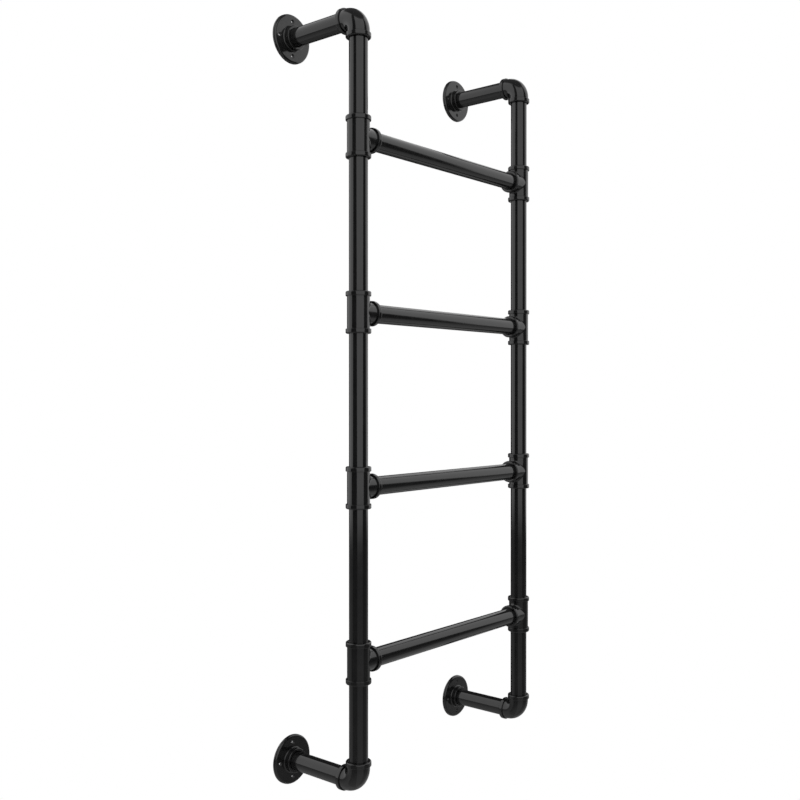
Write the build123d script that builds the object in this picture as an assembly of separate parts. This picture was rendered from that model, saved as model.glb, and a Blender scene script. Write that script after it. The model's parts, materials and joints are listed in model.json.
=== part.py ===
from build123d import *
import os

# Wall-hung towel ladder of screwed pipe: two rails, rungs between them, and a
# standoff with a round wall flange at each end of each rail.
# Millimetres, +Z up, +X along the rungs. The wall is the plane y = 0, the
# ladder stands off it towards -Y, and the origin is the middle of the four
# flanges, on the wall.

# Layout, from axis to axis
rung_count = 4
rung_pitch = 304.8
rail_spacing = 505.0
end_spacing = 208.3  # outer rung to the standoff beyond it
wall_offset = 170.0  # wall to the plane of the rails and rungs

# Pipe, nominal one inch
pipe_diameter = 33.4
pipe_wall = 3.38

# Taper thread, drawn as rings at the real pitch
thread_pitch = 2.21
thread_height = 1.4
thread_taper = 1 / 16  # change of diameter along the length
thread_clearance = 0.2  # between the male and the female thread, on radius
thread_relief = 2.5  # tapped length beyond the end of the pipe
fitting_engagement = 17.0  # pipe length inside a tee or an elbow
flange_engagement = 14.0  # pipe length inside a flange hub
mouth_chamfer = 0.6

# Tees and elbows
pipe_end_gap = 3.1  # inside a fitting, from the end of one pipe to the side of the next
tee_branch_gap = 4.5  # the same for the pipe in the branch of a tee
socket_wall = 3.2  # metal outside the thread
cavity_wall = 4.4  # metal round the hollow middle
band_height = 2.4  # bead round each mouth, above the body
band_width = 8.4
band_mouth_radius = 2.3  # rounding of the bead at the mouth
band_back_radius = 0.9  # rounding of the bead towards the body
tee_crotch_radius = 5.0
tee_branch_step = 0.5  # branch body inside the run body, on radius
elbow_inside_radius = 4.8

# Wall flange
flange_rim = 22.65  # disc beyond the hub
flange_thickness = 6.2
flange_edge_radius = 3.8  # rounding of the disc's front edge
hub_wall = 5.1  # metal outside the thread
hub_foot_radius = 2.5
hub_edge_radius = 1.2
flange_pipe_gap = 2.8  # from the wall to the end of the pipe
hole_count = 4
hole_diameter = 7.5
hole_inset = 12.9  # hole centre to the edge of the disc

# Sizes that follow from these
pipe_radius = pipe_diameter / 2
bore_radius = pipe_radius - pipe_wall
socket_radius = pipe_radius + thread_clearance
body_radius = socket_radius + socket_wall
band_radius = body_radius + band_height
cavity_radius = body_radius - cavity_wall
fitting_setback = pipe_radius + pipe_end_gap  # centre to the end of a pipe
fitting_reach = fitting_setback + fitting_engagement  # centre to mouth
branch_setback = pipe_radius + tee_branch_gap
branch_reach = branch_setback + fitting_engagement
elbow_bend_radius = body_radius + elbow_inside_radius
hub_radius = socket_radius + hub_wall
hub_height = flange_pipe_gap + flange_engagement
flange_radius = hub_radius + flange_rim
hole_circle_radius = flange_radius - hole_inset
half_ladder = rung_pitch * (rung_count - 1) / 2
standoff_height = half_ladder + end_spacing
cut_margin = thread_pitch  # how far a cutter runs past the face that it opens

BASE = (Align.CENTER, Align.CENTER, Align.MIN)
TO_X = Rot(0, 90, 0)
TO_Y = Rot(-90, 0, 0)
TO_FRONT = Rot(90, 0, 0)
LEFT_RIGHT = (("left", -1), ("right", 1))
TOP_BOTTOM = (("top", 1), ("bottom", -1))


def thread_points(engagement, growth=0.0):
    """Radius and height of the thread's rings, from the end of the pipe upwards."""
    def crest(height):
        return pipe_radius + growth - (engagement - height) * thread_taper / 2

    rings = int((engagement - mouth_chamfer) / thread_pitch)
    points = [(crest(0) - thread_height, 0)]
    for ring in range(rings):
        middle = (ring + 0.5) * thread_pitch
        end = (ring + 1) * thread_pitch
        points.append((crest(middle), middle))
        points.append((crest(end) - thread_height, end))
    points.append((pipe_radius + growth, engagement))
    return points


def turned(points):
    """Solid of revolution about Z from radius and height pairs."""
    outline = Polyline(*[(radius, 0, height) for radius, height in points], close=True)
    return revolve(make_face(outline), Axis.Z, 360)


def pipe(length, start_engagement, end_engagement):
    """Pipe along +Z from the origin, threaded at both ends."""
    start = thread_points(start_engagement)
    end = [(radius, length - height) for radius, height in thread_points(end_engagement)]
    return turned([(bore_radius, 0), *start, *reversed(end), (bore_radius, length)])


def socket_cutter(engagement, relief):
    """Tapped hole for a pipe whose end is at the origin, opening upwards."""
    thread = thread_points(engagement, thread_clearance)
    floor = [(0, -relief), (thread[0][0], -relief)]
    chamfer_start = (socket_radius, engagement - mouth_chamfer)
    mouth = [
        (socket_radius + mouth_chamfer, engagement),
        (socket_radius + mouth_chamfer, engagement + cut_margin),
        (0, engagement + cut_margin),
    ]
    return turned([*floor, *thread[:-1], chamfer_start, *mouth])


def band():
    """Bead round a mouth, with its outer face at the origin and its body below."""
    ring = Pos(0, 0, -band_width) * Cylinder(band_radius, band_width, align=BASE)
    rims = ring.edges().filter_by(GeomType.CIRCLE).sort_by(Axis.Z)
    ring = fillet(rims[-1], min(band_mouth_radius, band_width / 2))
    rims = ring.edges().filter_by(GeomType.CIRCLE).sort_by(Axis.Z)
    return fillet(rims[0], min(band_back_radius, band_height))


def tee():
    """Tee with its run along Z and its branch along +X."""
    run = Cylinder(body_radius, 2 * fitting_reach)
    branch = TO_X * Cylinder(body_radius - tee_branch_step, branch_reach, align=BASE)
    body = run + branch
    crotch = body.edges().filter_by(GeomType.BSPLINE)
    body = fillet(crotch, tee_crotch_radius)
    hollow = Cylinder(cavity_radius, 2 * fitting_setback)
    hollow += TO_X * Cylinder(cavity_radius, branch_setback, align=BASE)
    cutter = socket_cutter(fitting_engagement, thread_relief)
    ends = ((Rot(), fitting_setback), (Rot(180, 0, 0), fitting_setback), (TO_X, branch_setback))
    for turn, setback in ends:
        body += turn * Pos(0, 0, setback + fitting_engagement) * band()
        hollow += turn * Pos(0, 0, setback) * cutter
    return body - hollow


def elbow():
    """Elbow with one leg along +Z and the other along +Y."""
    centre = Axis((0, elbow_bend_radius, elbow_bend_radius), (1, 0, 0))
    section = Plane.XY.offset(elbow_bend_radius)
    body = revolve(section * Circle(body_radius), centre, 90)
    hollow = revolve(section * Circle(cavity_radius), centre, 90)
    leg = Cylinder(body_radius, fitting_reach - elbow_bend_radius, align=BASE)
    cutter = socket_cutter(fitting_engagement, thread_relief)
    for turn in (Rot(), TO_Y):
        body += turn * Pos(0, 0, elbow_bend_radius) * leg
        body += turn * Pos(0, 0, fitting_reach) * band()
        hollow += turn * Pos(0, 0, fitting_setback) * cutter
    return body - hollow


def flange():
    """Wall flange with its back at the origin and its hub along +Z."""
    disc = Cylinder(flange_radius, flange_thickness, align=BASE)
    rim = disc.edges().filter_by(GeomType.CIRCLE).sort_by(Axis.Z)[-1]
    body = fillet(rim, flange_edge_radius) + Cylinder(hub_radius, hub_height, align=BASE)
    circles = body.edges().filter_by(GeomType.CIRCLE)
    hub_circles = circles.filter_by(lambda edge: abs(edge.radius - hub_radius) < thread_clearance)
    body = fillet(hub_circles.sort_by(Axis.Z)[0], hub_foot_radius)
    hub_end = body.edges().filter_by(GeomType.CIRCLE).sort_by(Axis.Z)[-1]
    body = fillet(hub_end, hub_edge_radius)
    body -= Pos(0, 0, flange_pipe_gap) * socket_cutter(flange_engagement, flange_pipe_gap + cut_margin)
    hole = Cylinder(hole_diameter / 2, 2 * hub_height)
    for place in PolarLocations(hole_circle_radius, hole_count):
        body -= place * hole
    return body


def write(name, shape):
    """Keep one piece as its own file."""
    export_step(shape, f"parts/{name}.step")


os.makedirs("parts", exist_ok=True)

rung_heights = [half_ladder - rung_pitch * number for number in range(rung_count)]
one_tee = tee()
one_elbow = elbow()
one_flange = flange()
one_rung = pipe(rail_spacing - 2 * branch_setback, fitting_engagement, fitting_engagement)
standoff_length = wall_offset - fitting_setback - flange_pipe_gap
one_standoff = pipe(standoff_length, fitting_engagement, flange_engagement)

for number, height in enumerate(rung_heights, start=1):
    rung_start = branch_setback - rail_spacing / 2
    write(f"rung_{number}", Pos(rung_start, -wall_offset, height) * TO_X * one_rung)

for side, sign in LEFT_RIGHT:
    rail_x = sign * rail_spacing / 2
    rail = Pos(rail_x, -wall_offset, 0)
    branch_turn = Rot(0, 0, 0 if sign < 0 else 180)
    for number, height in enumerate(rung_heights, start=1):
        write(f"tee_{number}_{side}", rail * Pos(0, 0, height) * branch_turn * one_tee)

    # Each rail pipe runs between two neighbouring fittings, down from the top elbow
    centres = [standoff_height, *rung_heights, -standoff_height]
    for number, (above, below) in enumerate(zip(centres, centres[1:]), start=1):
        piece = pipe(above - below - 2 * fitting_setback, fitting_engagement, fitting_engagement)
        write(f"rail_pipe_{number}_{side}", rail * Pos(0, 0, below + fitting_setback) * piece)

    for end, up in TOP_BOTTOM:
        corner = rail * Pos(0, 0, up * standoff_height)
        elbow_turn = Rot(0, 180 if up > 0 else 0, 0)
        write(f"elbow_{end}_{side}", corner * elbow_turn * one_elbow)
        standoff = Pos(0, fitting_setback, 0) * TO_Y * one_standoff
        write(f"standoff_pipe_{end}_{side}", corner * standoff)
        on_wall = Pos(rail_x, 0, up * standoff_height)
        write(f"flange_{end}_{side}", on_wall * TO_FRONT * one_flange)
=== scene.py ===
import json
import math

import bpy
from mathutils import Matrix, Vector

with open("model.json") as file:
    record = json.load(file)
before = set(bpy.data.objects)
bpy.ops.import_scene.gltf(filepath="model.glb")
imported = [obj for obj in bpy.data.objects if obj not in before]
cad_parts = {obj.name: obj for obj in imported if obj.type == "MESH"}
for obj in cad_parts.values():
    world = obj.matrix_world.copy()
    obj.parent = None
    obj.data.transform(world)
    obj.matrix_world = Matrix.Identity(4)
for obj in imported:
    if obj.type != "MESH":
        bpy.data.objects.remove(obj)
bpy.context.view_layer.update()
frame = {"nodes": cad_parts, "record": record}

MM = 0.001

# Camera, fitted to the photograph's silhouettes
IMAGE_SIDE = 800
FOCAL_PIXELS = 989.116
HORIZON_ROW = 394.98
SENSOR_MM = 36.0
CAMERA_PLACE = (-1.523718, -1.333624, 0.008895)
CAMERA_TURN = math.radians(49.933)  # from +Y towards +X

# Floor, in metres: pale under the object, where it keeps the shadow, and white around it
FLOOR_CENTRE = (0.0, -0.1, -1.2)
FLOOR_RADIUS = 40.0
FLOOR_SIDES = 96
FLOOR_COLOUR = (0.9, 0.9, 0.9, 1.0)
FLOOR_FADE = (0.4, 1.05)  # distances from the centre between which it turns white
FLOOR_WHITENESS = (0.45, 1.0)  # share of plain white there

# Lamp, in metres and watts, and the white world around the object
LAMP_PLACE = (-0.6, -0.9, 2.4)
LAMP_AIM = (0.0, -0.1, 0.0)
LAMP_SIDE = 2.0
LAMP_POWER = 60.0
WHITE = (1.0, 1.0, 1.0, 1.0)
WORLD_LIGHT = 0.75  # strength of the world as light on the object

# Studio walls that only the gloss shows, in metres and degrees. Directions are
# seen from the middle of the object and counted from the way to the camera,
# positive to the picture's right.
SHELL_CENTRE = (0.0, -0.17, 0.0)
SHELL_RADIUS = 4.2
SHELL_SEGMENTS = 96
SHELL_RINGS = 48
WALLS = (  # left edge and its lean, right edge and its lean, bottom, height where the lean ends
    (-128.0, 0.4, -66.0, 0.31, -10.6, 40.0),
    (-17.0, 0.31, 53.3, 0.25, -11.0, 90.0),
    (101.3, 0.43, 167.0, 0.3, -10.5, 30.0),
)
EDGE_SOFTNESS = 1.5
BOTTOM_SOFTNESS = 1.9
GAP_LEVEL = 0.04  # dark gaps between the walls
GAP_BOTTOM = -10.6
CEILING = 60.0
CEILING_SOFTNESS = 3.5
CEILING_LEVEL = 0.11
GROUND_SPAN = (-11.0, -52.0)  # dark ground below the walls, far and near
GROUND_LEVELS = (0.045, 0.28)
# painted reflection of the walls in the ground, which stands for the floor that the gloss
# doesn't see
GROUND_WALL_REFLECTION = (3.0, 1.4)  # how much brighter the ground is in front of a wall

# Gloss black enamel. Scales are in features per metre, heights in metres.
ENAMELS = {  # by slot: name, range of roughness, scale and height of grain and of orange peel
    "pipe": ("gloss_black_pipe", (0.07, 0.13), 900.0, 0.000004, 160.0, 0.000012),
    "fitting": ("gloss_black_casting", (0.09, 0.16), 700.0, 0.000010, 220.0, 0.000025),
    "flange": ("gloss_black_flange", (0.09, 0.16), 700.0, 0.000008, 200.0, 0.000015),
}
ENAMEL_COLOUR = 0.005
ENAMEL_TINTS = ((0.8, 0.8, 0.84), (1.2, 1.2, 1.2))  # darkest and lightest, times the colour
ENAMEL_IOR = 1.6
NOISE_ROUGHNESS = 0.6
CLOUD_SCALE = 38.0
CLOUD_DETAIL = 4.0
CLOUD_RANGE = (0.3, 0.7)  # part of the noise that the tints span
GRAIN_DETAIL = 3.0
PEEL_DETAIL = 2.0
SPECKLE_SHARES = (0.5, 0.5)  # of grain and of cloud in the roughness
SPECKLE_RANGE = (0.35, 0.65)

# The flanges' drilled holes are half matt inside
DRILLED_SLOT = "flange"
DRILLED_MOUNT = "flange_holes_top_right"
HOLE_ROUGHNESS = 0.5
HOLE_EDGE = 0.00015  # metres over which the gloss sets in


def node(tree, kind, **values):
    """New shader node with its properties set."""
    made = tree.nodes.new(kind)
    for name, value in values.items():
        setattr(made, name, value)
    return made


def feed(tree, socket, value):
    """Set an input socket to a number, or link it to an output."""
    if isinstance(value, bpy.types.NodeSocket):
        tree.links.new(value, socket)
    else:
        socket.default_value = value


def calc(tree, operation, first, second=0.0, third=0.0, clamp=False):
    """One Math node; returns its output."""
    made = node(tree, "ShaderNodeMath", operation=operation, use_clamp=clamp)
    for socket, value in zip(made.inputs, (first, second, third)):
        feed(tree, socket, value)
    return made.outputs[0]


def ramp(tree, value, low, high, to_low=0.0, to_high=1.0, smooth=True):
    """One Map Range node, clamped; returns its output."""
    made = node(tree, "ShaderNodeMapRange", clamp=True)
    made.interpolation_type = "SMOOTHSTEP" if smooth else "LINEAR"
    for name, given in (("Value", value), ("From Min", low), ("From Max", high),
                        ("To Min", to_low), ("To Max", to_high)):
        feed(tree, made.inputs[name], given)
    return made.outputs["Result"]


def object_place(tree):
    """Where a point of the surface is, in the object's own frame."""
    return node(tree, "ShaderNodeTexCoord").outputs["Object"]


def shown_directly(tree):
    """One for what is seen, also mirrored or through glass, and zero for light on a surface."""
    path = node(tree, "ShaderNodeLightPath").outputs
    seen = calc(tree, "ADD", path["Is Camera Ray"], path["Is Glossy Ray"])
    return calc(tree, "ADD", seen, path["Is Transmission Ray"], clamp=True)


def send(tree, shader, output="ShaderNodeOutputMaterial"):
    """Link a shader to the tree's output."""
    tree.links.new(shader.outputs[0], node(tree, output).inputs["Surface"])


def new_material(name):
    """Material with the nodes that Blender starts from, and its tree."""
    material = bpy.data.materials.new(name)
    material.use_nodes = True
    return material, material.node_tree


def studio_world():
    """White all round, and softer than white as light on the object."""
    world = bpy.data.worlds.new("studio")
    world.use_nodes = True
    tree = world.node_tree
    tree.nodes.clear()
    background = node(tree, "ShaderNodeBackground")
    background.inputs["Color"].default_value = WHITE
    strength = ramp(tree, shown_directly(tree), 0.0, 1.0, WORLD_LIGHT, 1.0)
    tree.links.new(strength, background.inputs["Strength"])
    send(tree, background, "ShaderNodeOutputWorld")
    return world


def wall_material(to_camera):
    """White walls with dark gaps, under a dark ceiling and over a dark ground that carries a
    painted reflection of the walls in front of them.
    """
    material, tree = new_material("studio_walls")
    tree.nodes.clear()
    unit = node(tree, "ShaderNodeVectorMath", operation="NORMALIZE")
    tree.links.new(object_place(tree), unit.inputs[0])

    def along(axis):
        made = node(tree, "ShaderNodeVectorMath", operation="DOT_PRODUCT")
        tree.links.new(unit.outputs["Vector"], made.inputs[0])
        made.inputs[1].default_value = axis
        return made.outputs["Value"]

    def step(value, angle, soft):
        return ramp(tree, value, math.radians(angle - soft), math.radians(angle + soft))

    def between(low, high, share):
        difference = calc(tree, "SUBTRACT", high, low)
        return calc(tree, "MULTIPLY_ADD", difference, share, low)

    back = Vector((to_camera.x, to_camera.y, 0)).normalized()
    across = Vector((-back.y, back.x, 0))
    azimuth = calc(tree, "ARCTAN2", along(across), along(back))
    elevation = calc(tree, "ARCSINE", along((0, 0, 1)))

    far, near = (math.radians(angle) for angle in GROUND_SPAN)
    ground = ramp(tree, elevation, far, near, *GROUND_LEVELS, smooth=False)
    # painted reflection of the walls in the ground: brighter in front of each wall
    painted_wall_reflection = ramp(tree, elevation, far, near, *GROUND_WALL_REFLECTION, smooth=False)
    ground_with_wall_reflection = calc(tree, "MULTIPLY", ground, painted_wall_reflection)
    level = between(ground, GAP_LEVEL, step(elevation, GAP_BOTTOM, BOTTOM_SOFTNESS))
    for left, left_lean, right, right_lean, bottom, lean_end in WALLS:
        height = calc(tree, "MAXIMUM", elevation, math.radians(bottom))
        height = calc(tree, "MINIMUM", height, math.radians(lean_end))
        past_left = calc(tree, "MULTIPLY_ADD", height, left_lean, azimuth)
        past_right = calc(tree, "MULTIPLY_ADD", height, -right_lean, azimuth)
        inside = step(past_left, left, EDGE_SOFTNESS)
        outside = step(past_right, right, EDGE_SOFTNESS)
        # below the wall's bottom, the ground with the painted reflection of this wall
        wall = between(ground_with_wall_reflection, 1.0, step(elevation, bottom, BOTTOM_SOFTNESS))
        level = between(level, wall, calc(tree, "SUBTRACT", inside, outside, clamp=True))
    level = between(level, CEILING_LEVEL, step(elevation, CEILING, CEILING_SOFTNESS))
    glow = node(tree, "ShaderNodeEmission")
    tree.links.new(level, glow.inputs["Strength"])
    send(tree, glow)
    return material


def floor_material():
    """Pale floor that keeps the shadow under the object and goes to plain white around it."""
    material, tree = new_material("pale_floor")
    tree.nodes.clear()
    length = node(tree, "ShaderNodeVectorMath", operation="LENGTH")
    tree.links.new(object_place(tree), length.inputs[0])
    away = ramp(tree, length.outputs["Value"], *FLOOR_FADE, *FLOOR_WHITENESS)
    pale = node(tree, "ShaderNodeBsdfDiffuse")
    pale.inputs["Color"].default_value = FLOOR_COLOUR
    white = node(tree, "ShaderNodeEmission")
    mix = node(tree, "ShaderNodeMixShader")
    tree.links.new(calc(tree, "MULTIPLY", shown_directly(tree), away), mix.inputs[0])
    tree.links.new(pale.outputs[0], mix.inputs[1])
    tree.links.new(white.outputs[0], mix.inputs[2])
    send(tree, mix)
    return material


def hole_distance(tree, place, pattern):
    """Distance from the axis of the nearest screw hole; the four flanges mirror each other."""
    split = node(tree, "ShaderNodeSeparateXYZ")
    tree.links.new(place, split.inputs[0])

    def off_centre(axis, centre):
        offset = calc(tree, "SUBTRACT", calc(tree, "ABSOLUTE", split.outputs[axis]), abs(centre))
        return calc(tree, "ABSOLUTE", offset)

    across = off_centre("X", pattern["pos_m"][0])
    up = off_centre("Z", pattern["pos_m"][2])
    circle = pattern["dims"]["pcd_mm"] / 2 * MM
    outwards = calc(tree, "SUBTRACT", calc(tree, "MAXIMUM", across, up), circle)
    aside = calc(tree, "MINIMUM", across, up)
    square = calc(tree, "MULTIPLY_ADD", outwards, outwards, calc(tree, "MULTIPLY", aside, aside))
    return calc(tree, "SQRT", square)


def gloss_black(name, roughness, grain_scale, grain_height, peel_scale, peel_height, holes=None):
    """Enamel: slight colour and gloss variation over fine grain and slow orange peel."""
    material, tree = new_material(name)
    shader = tree.nodes["Principled BSDF"]
    shader.inputs["IOR"].default_value = ENAMEL_IOR
    place = object_place(tree)

    def noise(scale, detail):
        made = node(tree, "ShaderNodeTexNoise")
        tree.links.new(place, made.inputs["Vector"])
        made.inputs["Scale"].default_value = scale
        made.inputs["Detail"].default_value = detail
        made.inputs["Roughness"].default_value = NOISE_ROUGHNESS
        return made.outputs["Fac"]

    def bump(height, distance, below=None):
        made = node(tree, "ShaderNodeBump")
        made.inputs["Strength"].default_value = 1.0
        made.inputs["Distance"].default_value = distance
        tree.links.new(height, made.inputs["Height"])
        if below is not None:
            tree.links.new(below, made.inputs["Normal"])
        return made.outputs["Normal"]

    cloud = noise(CLOUD_SCALE, CLOUD_DETAIL)
    grain = noise(grain_scale, GRAIN_DETAIL)
    peel = noise(peel_scale, PEEL_DETAIL)

    colour = node(tree, "ShaderNodeValToRGB")
    for stop, position, tint in zip(colour.color_ramp.elements, CLOUD_RANGE, ENAMEL_TINTS):
        stop.position = position
        stop.color = (*(ENAMEL_COLOUR * share for share in tint), 1)
    tree.links.new(cloud, colour.inputs["Fac"])
    tree.links.new(colour.outputs["Color"], shader.inputs["Base Color"])

    grain_share, cloud_share = SPECKLE_SHARES
    clouded = calc(tree, "MULTIPLY", cloud, cloud_share)
    speckle = calc(tree, "MULTIPLY_ADD", grain, grain_share, clouded)
    gloss = ramp(tree, speckle, *SPECKLE_RANGE, *roughness)
    if holes is not None:
        edge = holes["dims"]["hole_r_mm"] * MM
        distance = hole_distance(tree, place, holes)
        gloss = ramp(tree, distance, edge, edge + HOLE_EDGE, HOLE_ROUGHNESS, gloss)
    tree.links.new(gloss, shader.inputs["Roughness"])

    slow = bump(peel, peel_height)
    tree.links.new(bump(grain, grain_height, slow), shader.inputs["Normal"])
    return material


def link(name, data):
    """New object in the scene."""
    made = bpy.data.objects.new(name, data)
    bpy.context.scene.collection.objects.link(made)
    return made


# Materials, one for each slot of the record
mounts = {mount["name"]: mount for mount in frame["record"]["mounts"]}
finishes = {}
for slot, enamel in ENAMELS.items():
    holes = mounts[DRILLED_MOUNT] if slot == DRILLED_SLOT else None
    finishes[slot] = gloss_black(*enamel, holes)
for part in frame["record"]["subparts"]:
    mesh = frame["nodes"][part["node"]].data
    mesh.materials.clear()
    mesh.materials.append(finishes[part["material_slot"]])

# Camera
pitch = math.atan((HORIZON_ROW - IMAGE_SIDE / 2) / FOCAL_PIXELS)
forward = Vector((
    math.sin(CAMERA_TURN) * math.cos(pitch),
    math.cos(CAMERA_TURN) * math.cos(pitch),
    math.sin(pitch),
))
camera = link("camera", bpy.data.cameras.new("camera"))
camera.data.sensor_fit = "HORIZONTAL"
camera.data.sensor_width = SENSOR_MM
camera.data.lens = SENSOR_MM * FOCAL_PIXELS / IMAGE_SIDE
camera.location = CAMERA_PLACE
camera.rotation_mode = "QUATERNION"
camera.rotation_quaternion = forward.to_track_quat("-Z", "Y")
bpy.context.scene.camera = camera

# Floor
bpy.ops.mesh.primitive_circle_add(vertices=FLOOR_SIDES, radius=FLOOR_RADIUS, fill_type="NGON",
                                  location=FLOOR_CENTRE)
floor = bpy.context.object
floor.name = "floor"
floor.data.materials.append(floor_material())
floor.visible_glossy = False

# Light
lamp = link("soft_box", bpy.data.lights.new("soft_box", "AREA"))
lamp.data.shape = "RECTANGLE"
lamp.data.size = LAMP_SIDE
lamp.data.size_y = LAMP_SIDE
lamp.data.energy = LAMP_POWER
lamp.location = LAMP_PLACE
lamp.rotation_mode = "QUATERNION"
lamp.rotation_quaternion = (Vector(LAMP_AIM) - lamp.location).to_track_quat("-Z", "Y")
lamp.visible_glossy = False
bpy.context.scene.world = studio_world()

# Studio walls
bpy.ops.mesh.primitive_uv_sphere_add(segments=SHELL_SEGMENTS, ring_count=SHELL_RINGS,
                                     radius=SHELL_RADIUS, location=SHELL_CENTRE)
shell = bpy.context.object
shell.name = "studio_walls"
shell.data.materials.append(wall_material(-forward))
shell.visible_camera = False
shell.visible_diffuse = False
shell.visible_transmission = False
shell.visible_shadow = False

bpy.context.scene.view_settings.view_transform = "Standard"
